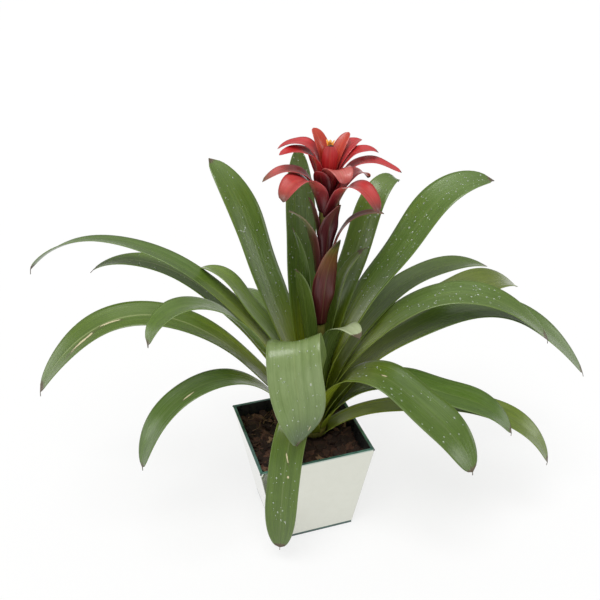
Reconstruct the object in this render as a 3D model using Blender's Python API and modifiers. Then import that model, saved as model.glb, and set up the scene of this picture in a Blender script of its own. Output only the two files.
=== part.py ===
"""A bromeliad growing in a square tapered cachepot of mirrored glass panels.

Metres, +Z up.  The pot stands on z = 0 with its front panel facing -Y and its base centred on the
origin.  The plant grows a little off the middle of the pot and leans a few degrees.
"""

import math

import bmesh
import bpy
from mathutils import Matrix, Vector

# ---------------------------------------------------------------- driving dimensions
POT_TOP = 0.130          # outer side of the rim
POT_FOOT = 0.0914        # outer side of the foot
POT_HEIGHT = 0.1186
GLASS = 0.0035           # thickness of a panel
FLOOR_PLATE = 0.003      # thickness of the base plate
SEAT = 0.0003            # gap left between pieces that touch

BARK_TOP = 0.104         # level of the bark about the plant
BARK_CELLS = 14
BARK_LUMP = 0.0022       # how far the chips stand above and below that level

PLANT_AT = (0.0163, 0.0076)
PLANT_TURN = -16.6       # turn of the plant in its pot, degrees
LEAN = 3.6               # lean of the stem, degrees
ROOT_GAP = 0.0014        # clearance under the leaning foot of the stem

CAUDEX_FOOT_R = 0.0170   # short thick stem that carries the leaves
CAUDEX_TOP_R = 0.0072
CAUDEX_TALL = 0.068
STEM_TOP_R = 0.0070      # stalk that carries the flower head
STEM_TALL = 0.322

LEAF_THICK = 0.0007
BRACT_THICK = 0.0006
LEAF_ACROSS, LEAF_ALONG = 4, 13
BRACT_ACROSS, BRACT_ALONG = 6, 9
STEPS = 60               # fine steps of a blade's midline

COLLECTION = "potted_bromeliad"

# Foliage, outermost first: name, heading, height on the stem, length, half width, sideways bend,
# roll, and the climb of the midline as (share of the length, degrees).  Lengths in metres.
LEAVES = (
    ("leaf_right_low", 354, 0.003, 0.296, 0.0150, -1, 20,
     ((0, 52), (0.25, 14), (0.5, 4), (0.75, -29), (1, -69))),
    ("leaf_left_low", 208, 0.005, 0.279, 0.0167, 7, 0,
     ((0, 61), (0.25, 52), (0.5, 11), (0.75, -42), (1, -84))),
    ("leaf_front_hanging", 250, 0.007, 0.243, 0.0175, 12, 0,
     ((0, 64), (0.12, 63), (0.24, 42), (0.34, -28), (0.48, -64), (0.62, -74), (0.8, -88), (1, -98))),
    ("leaf_back_low", 96, 0.009, 0.250, 0.0185, 8, 0, ((0, 62), (0.25, 38), (0.5, 2), (0.75, -34), (1, -66))),
    ("leaf_right_second", 348, 0.011, 0.254, 0.0202, 1, 9,
     ((0, 73), (0.25, 43), (0.5, -8), (0.75, -13), (1, -59))),
    ("leaf_left_third", 184, 0.013, 0.379, 0.0210, 11, -11,
     ((0, 60), (0.25, 47), (0.5, 23), (0.75, -32), (1, -66))),
    ("leaf_back_right", 74, 0.015, 0.280, 0.0190, -6, 0,
     ((0, 68), (0.25, 38), (0.5, 6), (0.75, -28), (1, -58))),
    ("leaf_back_left", 124, 0.017, 0.255, 0.0190, 0, 0, ((0, 68), (0.25, 46), (0.5, 14), (0.75, -20), (1, -55))),
    ("leaf_right_olive", 26, 0.019, 0.329, 0.0229, 11, 12,
     ((0, 64), (0.25, 42), (0.5, 17), (0.75, 5), (1, -40))),
    ("leaf_right_long", 7, 0.021, 0.388, 0.0198, -6, 15,
     ((0, 74), (0.25, 40), (0.5, 18), (0.75, -34), (1, -51))),
    ("leaf_left_second", 156, 0.0205, 0.328, 0.0165, 15, -1,
     ((0, 70), (0.25, 46), (0.5, 32), (0.75, 8), (1, -38))),
    ("leaf_left_long", 163, 0.023, 0.432, 0.0150, 1, 8,
     ((0, 76), (0.25, 46), (0.5, 25), (0.75, -9), (1, -52))),
    ("leaf_right_broad", 328, 0.027, 0.250, 0.0236, -1, 15,
     ((0, 79), (0.25, 51), (0.5, -18), (0.75, -31), (1, -64))),
    ("leaf_left_curled", 204, 0.029, 0.281, 0.0205, 12, 8,
     ((0, 76), (0.25, 54), (0.5, 54), (0.75, 17), (1, -80))),
    ("leaf_right_arched", 0, 0.031, 0.333, 0.0187, -2, 13,
     ((0, 78), (0.25, 57), (0.5, 33), (0.75, -18), (1, -49))),
    ("leaf_left_short", 160, 0.033, 0.212, 0.0150, -12, 9,
     ((0, 79), (0.25, 65), (0.5, 42), (0.75, 43), (1, -25))),
    ("leaf_right_upper", 25, 0.035, 0.282, 0.0176, -2, -1,
     ((0, 79), (0.25, 61), (0.5, 38), (0.75, 8), (1, -23))),
    ("leaf_left_tall", 150, 0.037, 0.294, 0.0210, -6, -11,
     ((0, 79), (0.25, 66), (0.5, 65), (0.75, 63), (1, 31))),
    ("leaf_front_folded", 231.5, 0.0405, 0.249, 0.0278, 124, 28,
     ((0, 77), (0.25, 75), (0.4, 48), (0.5, 30), (0.6, -55), (0.75, -70), (1, -103))),
    ("leaf_back_upright", 121, 0.044, 0.280, 0.0185, 0, 0,
     ((0, 78), (0.25, 78), (0.5, 81), (0.75, 82), (1, 82))),
    ("leaf_right_tall", 12, 0.0475, 0.324, 0.0222, 8, 13,
     ((0, 82), (0.25, 70), (0.5, 56), (0.75, 53), (1, -17))),
    ("leaf_front_short", 304, 0.051, 0.142, 0.0145, 0, 0, ((0, 83), (0.35, 80), (0.7, 58), (1, -30))),
    ("leaf_right_upright", 44, 0.0545, 0.273, 0.0161, 4, 10,
     ((0, 84), (0.25, 79), (0.5, 64), (0.75, 68), (0.9, 22), (1, -49))),
    ("leaf_inner_left", 221, 0.058, 0.162, 0.0125, 0, 0, ((0, 86), (0.35, 85), (0.7, 78), (1, 66))),
    ("leaf_inner_right", 16, 0.0615, 0.172, 0.0100, 0, 0, ((0, 86), (0.35, 85), (0.7, 79), (1, 42))),
    ("leaf_inner_small", 206, 0.065, 0.196, 0.0088, 0, 0, ((0, 86), (0.35, 86), (0.7, 81), (1, 66))),
)

# Bracts on the stalk and in the head, lowest first, with the same columns.
BRACTS = (
    ("bract_stalk_1", 283, 0.145, 0.112, 0.0130, 44, 0, ((0, 84), (0.4, 83), (0.75, 72), (1, 66))),
    ("bract_stalk_2", 351, 0.213, 0.092, 0.0075, 0, 0, ((0, 84), (0.35, 72), (0.7, 34), (1, -14))),
    ("bract_stalk_3", 214, 0.206, 0.089, 0.0080, 0, 0, ((0, 84), (0.35, 76), (0.7, 53), (1, 24))),
    ("bract_stalk_4", 286, 0.222, 0.070, 0.0110, 40, 0, ((0, 86), (0.35, 82), (0.7, 68), (1, 60))),
    ("bract_stalk_5", 202, 0.247, 0.045, 0.0070, 0, 0, ((0, 82), (0.35, 76), (0.7, 72), (1, 64))),
    ("bract_stalk_6", 24, 0.2445, 0.038, 0.0060, 0, 0, ((0, 85), (0.35, 80), (0.7, 79), (1, 77))),
    ("bract_head_1", 320, 0.27, 0.085, 0.0135, 0, 0, ((0, 73), (0.35, 58), (0.7, -23), (1, -66))),
    ("bract_head_2", 218, 0.2735, 0.081, 0.0160, 0, 0, ((0, 73), (0.35, 62), (0.7, -17), (1, -84))),
    ("bract_head_3", 37, 0.277, 0.066, 0.0115, 0, 0, ((0, 74), (0.35, 52), (0.7, -5), (1, -59))),
    ("bract_head_4", 245, 0.2845, 0.042, 0.0102, 0, 0, ((0, 78), (0.5, 66), (1, 50))),
    ("bract_head_5", 187, 0.2805, 0.080, 0.0110, 0, 0, ((0, 75), (0.35, 52), (0.7, -12), (1, -44))),
    ("bract_head_6", 357, 0.2875, 0.088, 0.0115, 0, 0, ((0, 76), (0.35, 54), (0.7, -12), (1, -24))),
    ("bract_head_7", 292, 0.291, 0.057, 0.0140, 0, 0, ((0, 78), (0.35, 75), (0.7, 6), (1, -92))),
    ("bract_head_8", 118, 0.2945, 0.052, 0.0120, 0, 0, ((0, 76), (0.35, 64), (0.7, 35), (1, -6))),
    ("bract_head_9", 190, 0.298, 0.068, 0.0125, 0, 0, ((0, 77), (0.35, 72), (0.7, 6), (1, -26))),
    ("bract_head_10", 8, 0.3015, 0.062, 0.0115, 0, 0, ((0, 77), (0.35, 63), (0.7, 13), (1, -28))),
    ("bract_head_11", 168, 0.305, 0.070, 0.0120, 0, 0, ((0, 78), (0.35, 68), (0.7, -9), (1, -38))),
    ("bract_head_12", 40, 0.3085, 0.051, 0.0105, 0, 0, ((0, 78), (0.35, 60), (0.7, 24), (1, -4))),
    ("bract_head_13", 270, 0.312, 0.034, 0.0085, 0, 0, ((0, 80), (0.5, 82), (1, 80))),
    ("bract_head_14", 48, 0.3145, 0.041, 0.0076, 0, 0, ((0, 80), (0.35, 68), (0.7, 46), (1, 34))),
    ("bract_head_15", 136, 0.3182, 0.039, 0.0095, 0, 0, ((0, 81), (0.35, 78), (0.7, 56), (1, 38))),
)


def clear_scene():
    for obj in list(bpy.data.objects):
        bpy.data.objects.remove(obj, do_unlink=True)


def material(name, color, roughness, metallic=0.0):
    mat = bpy.data.materials.new(name)
    mat.use_nodes = True
    shader = mat.node_tree.nodes["Principled BSDF"]
    shader.inputs["Base Color"].default_value = (*color, 1.0)
    shader.inputs["Roughness"].default_value = roughness
    shader.inputs["Metallic"].default_value = metallic
    mat.diffuse_color = (*color, 1.0)
    return mat


def add_object(name, mesh, mat):
    obj = bpy.data.objects.new(name, mesh)
    obj.data.materials.append(mat)
    bpy.data.collections[COLLECTION].objects.link(obj)
    return obj


def smooth(obj):
    for polygon in obj.data.polygons:
        polygon.use_smooth = True


def mesh_from(bm, name):
    bmesh.ops.recalc_face_normals(bm, faces=bm.faces)
    mesh = bpy.data.meshes.new(name)
    bm.to_mesh(mesh)
    bm.free()
    return mesh


# ---------------------------------------------------------------- pot
def half_side(z):
    """Half the outer side of the pot at height z."""
    return (POT_FOOT + (POT_TOP - POT_FOOT) * z / POT_HEIGHT) / 2


def panel(name, turn, mat):
    """One glass panel with mitred ends, made facing -Y and turned about the axis of the pot."""
    bm = bmesh.new()
    bmesh.ops.create_cube(bm, size=2.0)
    for vert in bm.verts:
        side, face, level = vert.co
        z = POT_HEIGHT if level > 0 else FLOOR_PLATE + SEAT
        out = half_side(z) - (GLASS if face > 0 else 0.0)
        vert.co = (side * (out - SEAT / 2), -out, z)
    obj = add_object(name, mesh_from(bm, name), mat)
    obj.rotation_euler.z = math.radians(turn)
    return obj


def base_plate(mat):
    bpy.ops.mesh.primitive_cube_add(size=1.0, location=(0, 0, FLOOR_PLATE / 2))
    obj = bpy.context.object
    obj.name = "base_plate"
    obj.scale = (POT_FOOT, POT_FOOT, FLOOR_PLATE)
    obj.data.materials.append(mat)
    for holder in list(obj.users_collection):
        holder.objects.unlink(obj)
    bpy.data.collections[COLLECTION].objects.link(obj)
    return obj


def bark_height(x, y):
    """Lumpy surface of loose chips, level about the foot of the plant."""
    lump = math.sin(310 * x + 1.3) * math.cos(270 * y + 0.4) + 0.6 * math.sin(520 * (x + y))
    away = math.hypot(x - PLANT_AT[0], y - PLANT_AT[1])
    flat = min(1.0, max(0.0, (away - 0.024) / 0.014))
    return BARK_TOP + BARK_LUMP * lump * flat


def bark_bed(mat):
    """The filling of bark chips, from the base plate up to a lumpy top."""
    bm = bmesh.new()
    bmesh.ops.create_grid(bm, x_segments=BARK_CELLS, y_segments=BARK_CELLS, size=1.0)
    top = half_side(BARK_TOP) - GLASS / math.cos(math.atan2(POT_TOP - POT_FOOT, 2 * POT_HEIGHT))
    for vert in bm.verts:
        x, y = vert.co.x * (top - 0.0012), vert.co.y * (top - 0.0012)
        vert.co = (x, y, bark_height(x, y))
    made = bmesh.ops.extrude_face_region(bm, geom=list(bm.faces))
    low = FLOOR_PLATE + SEAT
    shrink = (half_side(low) - GLASS - 2.5 * SEAT) / (top - 0.0012)
    for vert in (item for item in made["geom"] if isinstance(item, bmesh.types.BMVert)):
        vert.co = (vert.co.x * shrink, vert.co.y * shrink, low)
    return add_object("bark_chips", mesh_from(bm, "bark_chips"), mat)


# ---------------------------------------------------------------- plant
def plant_frame():
    """The plant's own frame: foot of the stem at the origin, axis along +Z."""
    place = Matrix.Translation((PLANT_AT[0], PLANT_AT[1], BARK_TOP + ROOT_GAP))
    turn = Matrix.Rotation(math.radians(PLANT_TURN), 4, "Z")
    return place @ turn @ Matrix.Rotation(math.radians(LEAN), 4, "Y")


def stem_radius(h):
    """Radius of the stem at height h: a short cone, then a slightly tapered stalk."""
    if h < CAUDEX_TALL:
        return CAUDEX_FOOT_R + (CAUDEX_TOP_R - CAUDEX_FOOT_R) * h / CAUDEX_TALL
    share = (h - CAUDEX_TALL) / (STEM_TALL - CAUDEX_TALL)
    return CAUDEX_TOP_R + (STEM_TOP_R - CAUDEX_TOP_R) * share


def stem(mat):
    """Stem turned from its side profile, running down from the tip to the foot."""
    heights = [STEM_TALL - STEM_TALL * i / 12 for i in range(13)]
    heights.insert(9, CAUDEX_TALL)
    profile = [(0.0, STEM_TALL + 0.003), (0.0028, STEM_TALL + 0.002)]
    profile += [(stem_radius(h), h) for h in sorted(set(heights), reverse=True)]
    profile.append((0.0, 0.0))
    mesh = bpy.data.meshes.new("stem")
    verts = [(r, 0.0, z) for r, z in profile]
    mesh.from_pydata(verts, [(i, i + 1) for i in range(len(verts) - 1)], [])
    obj = add_object("stem", mesh, mat)
    screw = obj.modifiers.new("Turn", "SCREW")
    screw.steps = screw.render_steps = 16
    screw.use_merge_vertices = True
    screw.merge_threshold = 0.0001
    screw.use_smooth_shade = True
    obj.matrix_world = plant_frame()
    return obj


def climb_at(stations, share):
    """Climb of the midline, eased between the stated stations."""
    for (s0, a0), (s1, a1) in zip(stations, stations[1:]):
        if share <= s1:
            t = (share - s0) / (s1 - s0)
            before = stations[max(stations.index((s0, a0)) - 1, 0)]
            after = stations[min(stations.index((s1, a1)) + 1, len(stations) - 1)]
            m0 = (a1 - before[1]) / max(s1 - before[0], 1e-6) * (s1 - s0)
            m1 = (after[1] - a0) / max(after[0] - s0, 1e-6) * (s1 - s0)
            blend = (2 * t**3 - 3 * t**2 + 1) * a0 + (t**3 - 2 * t**2 + t) * m0
            return blend + (3 * t**2 - 2 * t**3) * a1 + (t**3 - t**2) * m1
    return stations[-1][1]


def midline(heading, foot, length, bend, stations, thick):
    """Fine points of a blade's midline as (point, climb, heading), starting on the stem."""
    rho = stem_radius(foot) + SEAT + thick / 2
    at = Vector((rho * math.cos(heading), rho * math.sin(heading), foot))
    line = []
    for i in range(STEPS + 1):
        share = i / STEPS
        climb = math.radians(climb_at(stations, share))
        way = heading + math.radians(bend) * share**2
        line.append((at.copy(), climb, way))
        step = length / STEPS
        at += step * Vector((math.cos(climb) * math.cos(way), math.cos(climb) * math.sin(way), math.sin(climb)))
    return line


def ease(x, low, high):
    t = min(1.0, max(0.0, (x - low) / (high - low)))
    return t * t * (3 - 2 * t)


def strap_width(share, half, rho, wrap, shoulder):
    """Half width: a clasping foot, a full strap, then a rounded tip."""
    past = max(0.0, (share - shoulder) / (1 - shoulder))
    tip = max(0.06, math.sqrt(max(0.0, 1 - past**2)))
    body = half * (0.86 + 0.14 * ease(share, 0.15, 0.45)) * tip
    return min(body, rho * wrap)


def blade(row, thick, across, along, wrap, free_from, free_to, channel, shoulder, mat):
    """One leaf or bract: a grid laid along its midline, wrapped about the stem at its foot."""
    name, heading, foot, length, half, bend, roll, stations = row
    line = midline(math.radians(heading), foot, length, bend, stations, thick)
    bm = bmesh.new()
    bmesh.ops.create_grid(bm, x_segments=across, y_segments=along, size=1.0)
    for vert in bm.verts:
        t = vert.co.x
        share = ((vert.co.y + 1) / 2) ** 1.15
        here = min(share * STEPS, STEPS - 1e-6)
        (p0, c0, w0), (p1, c1, w1) = line[int(here)], line[int(here) + 1]
        part = here - int(here)
        at, climb, way = p0.lerp(p1, part), c0 + (c1 - c0) * part, w0 + (w1 - w0) * part
        rho = math.hypot(at.x, at.y)
        width = strap_width(share, half, rho, wrap, shoulder)
        radial = Vector((at.x / rho, at.y / rho, 0.0))
        left = Vector((-math.sin(way), math.cos(way), 0.0))
        up = Vector((-math.sin(climb) * math.cos(way), -math.sin(climb) * math.sin(way), math.cos(climb)))
        turn = math.radians(roll) * ease(share, 0.2, 0.8)
        side = left * math.cos(turn) + up * math.sin(turn)
        lift = up * math.cos(turn) - left * math.sin(turn)
        angle = t * width / rho
        free = ease(share * length, free_from, free_to)
        hugged = at + left * (rho * math.sin(angle)) - radial * (rho * (1 - math.cos(angle)))
        opened = at + side * (t * width) + lift * (channel * width * t * t)
        vert.co = hugged.lerp(opened, free)
    obj = add_object(name, mesh_from(bm, name), mat)
    shell = obj.modifiers.new("Thickness", "SOLIDIFY")
    shell.thickness = thick
    shell.offset = 0.0
    smooth(obj)
    obj.matrix_world = plant_frame()
    return obj


def flower_bud(mat):
    """The small flower standing open at the middle of the head."""
    bm = bmesh.new()
    bmesh.ops.create_cone(bm, cap_ends=True, segments=10, radius1=0.0018, radius2=0.0009, depth=0.022)
    sides = [e for e in bm.edges if abs(e.verts[0].co.z - e.verts[1].co.z) > 0.01]
    bmesh.ops.subdivide_edges(bm, edges=sides, cuts=3)
    for vert in bm.verts:
        share = vert.co.z / 0.022 + 0.5
        swell = 1 + 0.9 * math.sin(math.pi * share)
        vert.co = (vert.co.x * swell, vert.co.y * swell, vert.co.z)
    obj = add_object("flower_bud", mesh_from(bm, "flower_bud"), mat)
    smooth(obj)
    obj.matrix_world = plant_frame() @ Matrix.Translation((0, 0, STEM_TALL + 0.003 + SEAT + 0.011))
    return obj


def main():
    clear_scene()
    holder = bpy.data.collections.new(COLLECTION)
    bpy.context.scene.collection.children.link(holder)

    glass = material("mirrored_glass", (0.84, 0.85, 0.83), 0.06, 1.0)
    plate = material("base_glass", (0.10, 0.22, 0.20), 0.10)
    bark = material("bark", (0.085, 0.050, 0.038), 0.9)
    green = material("leaf_green", (0.075, 0.155, 0.045), 0.38)
    stalk = material("stem_green", (0.30, 0.30, 0.09), 0.5)
    maroon = material("bract_maroon", (0.16, 0.030, 0.036), 0.42)
    red = material("bract_red", (0.56, 0.045, 0.040), 0.42)
    yellow = material("flower_yellow", (0.85, 0.60, 0.12), 0.5)

    base_plate(plate)
    for name, turn in (("front", 0), ("right", 90), ("back", 180), ("left", 270)):
        panel(f"panel_{name}", turn, glass)
    bark_bed(bark)
    stem(stalk)
    for row in LEAVES:
        blade(row, LEAF_THICK, LEAF_ACROSS, LEAF_ALONG, 0.85, 0.05, 0.13, 0.16, 0.72, green)
    for row in BRACTS:
        mat = maroon if "stalk" in row[0] else red
        blade(row, BRACT_THICK, BRACT_ACROSS, BRACT_ALONG, 1.3, 0.014, 0.040, 0.22, 0.45, mat)
    flower_bud(yellow)


main()
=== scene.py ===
"""Looks of a bromeliad growing in a square tapered pot of mirrored glass, built on its CAD frame.

Metres, +Z up.  The pot stands on z = 0 with its front panel facing -Y.  The plant grows a little
off the middle of the pot and leans a few degrees.
"""

import math
import random

import bmesh
import bpy
from mathutils import Euler, Matrix, Vector, noise


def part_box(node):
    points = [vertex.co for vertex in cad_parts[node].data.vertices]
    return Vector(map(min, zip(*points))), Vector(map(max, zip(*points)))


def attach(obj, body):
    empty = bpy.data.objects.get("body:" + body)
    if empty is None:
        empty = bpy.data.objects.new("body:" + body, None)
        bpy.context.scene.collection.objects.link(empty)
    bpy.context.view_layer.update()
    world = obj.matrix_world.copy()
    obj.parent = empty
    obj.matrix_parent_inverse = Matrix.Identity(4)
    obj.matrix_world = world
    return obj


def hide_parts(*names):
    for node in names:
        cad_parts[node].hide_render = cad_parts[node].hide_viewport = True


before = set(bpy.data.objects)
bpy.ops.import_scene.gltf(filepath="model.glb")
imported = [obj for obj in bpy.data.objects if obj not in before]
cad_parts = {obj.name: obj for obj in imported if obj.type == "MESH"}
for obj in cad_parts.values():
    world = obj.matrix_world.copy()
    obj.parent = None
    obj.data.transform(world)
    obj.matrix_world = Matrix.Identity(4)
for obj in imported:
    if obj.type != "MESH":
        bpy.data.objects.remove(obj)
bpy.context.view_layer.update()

bl_info = {
    "name": "Potted bromeliad",
    "version": (1, 0, 0),
    "blender": (4, 5, 0),
    "location": "3D View > Sidebar > Bromeliad",
    "description": "Builds a bromeliad in a square mirrored pot, piece by piece",
    "category": "Add Mesh",
}

PANEL_LOW, PANEL_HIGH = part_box("panel_front")
PLATE_LOW, PLATE_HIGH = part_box("base_plate")

# ---------------------------------------------------------------- places and sizes kept from the CAD
SEAT = 0.0003                # gap between pieces that touch
BARK_TOP = 0.104             # level of the bark about the plant
PLANT_AT = (0.0163, 0.0076)
PLANT_TURN = -16.6           # degrees
LEAN = 3.6                   # degrees
ROOT_GAP = 0.0014
CAUDEX_FOOT_R, CAUDEX_TOP_R, CAUDEX_TALL = 0.0170, 0.0072, 0.068
STEM_TOP_R, STEM_TALL = 0.0070, 0.322
STEPS = 90                   # fine steps of a midline

# Blades: wrap about the stem at the foot, where along it the blade comes free in metres, depth of
# its channel as a share of the half width, and share of the length at which it starts to narrow.
LEAF_FORM = (0.85, 0.05, 0.13, 0.16, 0.72)
BRACT_FORM = (1.3, 0.014, 0.040, 0.22, 0.45)
LEAF_THREAD, BRACT_THREAD = 0.0006, 0.0004
LEAF_GRID, BRACT_GRID = (12, 72), (10, 30)

# Stage: the camera's view of the part, and where its light comes from.
CAMERA_TURN, CAMERA_DROP, CAMERA_TILT = 16.63, 28.83, -1.331
CAMERA_AIM = (0.0024, -0.0007, 0.2835)
CAMERA_AWAY, CAMERA_LENS, CAMERA_SENSOR = 0.84409, 48.48, 36.0
LAMP_FROM, LAMP_WIDE = (-0.20, -0.25, 0.95), 38
BOX_AXIS = (0.958, -0.286, 0.0)

# Foliage, outermost first: name, heading, height on the stem, length, half width, sideways bend,
# roll, and the climb of the midline as (share of the length, degrees).
LEAVES = (
    ("leaf_right_low", 354, 0.003, 0.296, 0.015, -1, 20,
     ((0, 52), (0.25, 14), (0.5, 4), (0.75, -29), (1, -69))),
    ("leaf_left_low", 208, 0.005, 0.279, 0.0167, 7, 0,
     ((0, 61), (0.25, 52), (0.5, 11), (0.75, -42), (1, -84))),
    ("leaf_front_hanging", 250, 0.007, 0.243, 0.0175, 12, 0,
     ((0, 64), (0.12, 63), (0.24, 42), (0.34, -28), (0.48, -64), (0.62, -74), (0.8, -88), (1, -98))),
    ("leaf_back_low", 96, 0.009, 0.25, 0.0185, 8, 0, ((0, 62), (0.25, 38), (0.5, 2), (0.75, -34), (1, -66))),
    ("leaf_right_second", 348, 0.011, 0.254, 0.0202, 1, 9,
     ((0, 73), (0.25, 43), (0.5, -8), (0.75, -13), (1, -59))),
    ("leaf_left_third", 184, 0.013, 0.379, 0.021, 11, -11,
     ((0, 60), (0.25, 47), (0.5, 23), (0.75, -32), (1, -66))),
    ("leaf_back_right", 74, 0.015, 0.28, 0.019, -6, 0,
     ((0, 68), (0.25, 38), (0.5, 6), (0.75, -28), (1, -58))),
    ("leaf_back_left", 124, 0.017, 0.255, 0.019, 0, 0,
     ((0, 68), (0.25, 46), (0.5, 14), (0.75, -20), (1, -55))),
    ("leaf_right_olive", 26, 0.019, 0.329, 0.0229, 11, 12,
     ((0, 64), (0.25, 42), (0.5, 17), (0.75, 5), (1, -40))),
    ("leaf_right_long", 7, 0.021, 0.388, 0.0198, -6, 15,
     ((0, 74), (0.25, 40), (0.5, 18), (0.75, -34), (1, -51))),
    ("leaf_left_second", 156, 0.0205, 0.328, 0.0165, 15, -1,
     ((0, 70), (0.25, 46), (0.5, 32), (0.75, 8), (1, -38))),
    ("leaf_left_long", 163, 0.023, 0.432, 0.015, 1, 8,
     ((0, 76), (0.25, 46), (0.5, 25), (0.75, -9), (1, -52))),
    ("leaf_right_broad", 328, 0.027, 0.25, 0.0236, -1, 15,
     ((0, 79), (0.25, 51), (0.5, -18), (0.75, -31), (1, -64))),
    ("leaf_left_curled", 204, 0.029, 0.281, 0.0205, 12, 8,
     ((0, 76), (0.25, 54), (0.5, 54), (0.75, 17), (1, -80))),
    ("leaf_right_arched", 0, 0.031, 0.333, 0.0187, -2, 13,
     ((0, 78), (0.25, 57), (0.5, 33), (0.75, -18), (1, -49))),
    ("leaf_left_short", 160, 0.033, 0.212, 0.015, -12, 9,
     ((0, 79), (0.25, 65), (0.5, 42), (0.75, 43), (1, -25))),
    ("leaf_right_upper", 25, 0.035, 0.282, 0.0176, -2, -1,
     ((0, 79), (0.25, 61), (0.5, 38), (0.75, 8), (1, -23))),
    ("leaf_left_tall", 150, 0.037, 0.294, 0.021, -6, -11,
     ((0, 79), (0.25, 66), (0.5, 65), (0.75, 63), (1, 31))),
    ("leaf_front_folded", 231.5, 0.0405, 0.249, 0.0278, 124, 28,
     ((0, 77), (0.25, 75), (0.4, 48), (0.5, 30), (0.6, -55), (0.75, -70), (1, -103))),
    ("leaf_back_upright", 121, 0.044, 0.28, 0.0185, 0, 0,
     ((0, 78), (0.25, 78), (0.5, 81), (0.75, 82), (1, 82))),
    ("leaf_right_tall", 12, 0.0475, 0.324, 0.0222, 8, 13,
     ((0, 82), (0.25, 70), (0.5, 56), (0.75, 53), (1, -17))),
    ("leaf_front_short", 304, 0.051, 0.142, 0.0145, 0, 0, ((0, 83), (0.35, 80), (0.7, 58), (1, -30))),
    ("leaf_right_upright", 44, 0.0545, 0.273, 0.0161, 4, 10,
     ((0, 84), (0.25, 79), (0.5, 64), (0.75, 68), (0.9, 22), (1, -49))),
    ("leaf_inner_left", 221, 0.058, 0.162, 0.0125, 0, 0, ((0, 86), (0.35, 85), (0.7, 78), (1, 66))),
    ("leaf_inner_right", 16, 0.0615, 0.172, 0.01, 0, 0, ((0, 86), (0.35, 85), (0.7, 79), (1, 42))),
    ("leaf_inner_small", 206, 0.065, 0.196, 0.0088, 0, 0, ((0, 86), (0.35, 86), (0.7, 81), (1, 66))),
)

# Bracts on the stalk and in the head, lowest first, with the same columns.
BRACTS = (
    ("bract_stalk_1", 283, 0.145, 0.112, 0.013, 44, 0, ((0, 84), (0.4, 83), (0.75, 72), (1, 66))),
    ("bract_stalk_2", 351, 0.213, 0.092, 0.0075, 0, 0, ((0, 84), (0.35, 72), (0.7, 34), (1, -14))),
    ("bract_stalk_3", 214, 0.206, 0.089, 0.008, 0, 0, ((0, 84), (0.35, 76), (0.7, 53), (1, 24))),
    ("bract_stalk_4", 286, 0.222, 0.07, 0.011, 40, 0, ((0, 86), (0.35, 82), (0.7, 68), (1, 60))),
    ("bract_stalk_5", 202, 0.247, 0.045, 0.007, 0, 0, ((0, 82), (0.35, 76), (0.7, 72), (1, 64))),
    ("bract_stalk_6", 24, 0.2445, 0.038, 0.006, 0, 0, ((0, 85), (0.35, 80), (0.7, 79), (1, 77))),
    ("bract_head_1", 320, 0.27, 0.085, 0.0135, 0, 0, ((0, 73), (0.35, 58), (0.7, -23), (1, -66))),
    ("bract_head_2", 218, 0.2735, 0.081, 0.016, 0, 0, ((0, 73), (0.35, 62), (0.7, -17), (1, -84))),
    ("bract_head_3", 37, 0.277, 0.066, 0.0115, 0, 0, ((0, 74), (0.35, 52), (0.7, -5), (1, -59))),
    ("bract_head_4", 245, 0.2845, 0.042, 0.0102, 0, 0, ((0, 78), (0.5, 66), (1, 50))),
    ("bract_head_5", 187, 0.2805, 0.08, 0.011, 0, 0, ((0, 75), (0.35, 52), (0.7, -12), (1, -44))),
    ("bract_head_6", 357, 0.2875, 0.088, 0.0115, 0, 0, ((0, 76), (0.35, 54), (0.7, -12), (1, -24))),
    ("bract_head_7", 292, 0.291, 0.057, 0.014, 0, 0, ((0, 78), (0.35, 75), (0.7, 6), (1, -92))),
    ("bract_head_8", 118, 0.2945, 0.052, 0.012, 0, 0, ((0, 76), (0.35, 64), (0.7, 35), (1, -6))),
    ("bract_head_9", 190, 0.298, 0.068, 0.0125, 0, 0, ((0, 77), (0.35, 72), (0.7, 6), (1, -26))),
    ("bract_head_10", 8, 0.3015, 0.062, 0.0115, 0, 0, ((0, 77), (0.35, 63), (0.7, 13), (1, -28))),
    ("bract_head_11", 168, 0.305, 0.07, 0.012, 0, 0, ((0, 78), (0.35, 68), (0.7, -9), (1, -38))),
    ("bract_head_12", 40, 0.3085, 0.051, 0.0105, 0, 0, ((0, 78), (0.35, 60), (0.7, 24), (1, -4))),
    ("bract_head_13", 270, 0.312, 0.034, 0.0085, 0, 0, ((0, 80), (0.5, 82), (1, 80))),
    ("bract_head_14", 48, 0.3145, 0.041, 0.0076, 0, 0, ((0, 80), (0.35, 68), (0.7, 46), (1, 34))),
    ("bract_head_15", 136, 0.3182, 0.039, 0.0095, 0, 0, ((0, 81), (0.35, 78), (0.7, 56), (1, 38))),
)

LEAF_GREEN = (0.110, 0.183, 0.021)
LEAF_FOOT = (0.300, 0.360, 0.018)
HEAD_RED = (0.62, 0.026, 0.030)
# Foot of a head bract: its red darkened as painted shade, where the bracts crowd into the middle of the head.
SHADED_BRACT_FOOT = (0.260, 0.008, 0.014)

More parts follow.
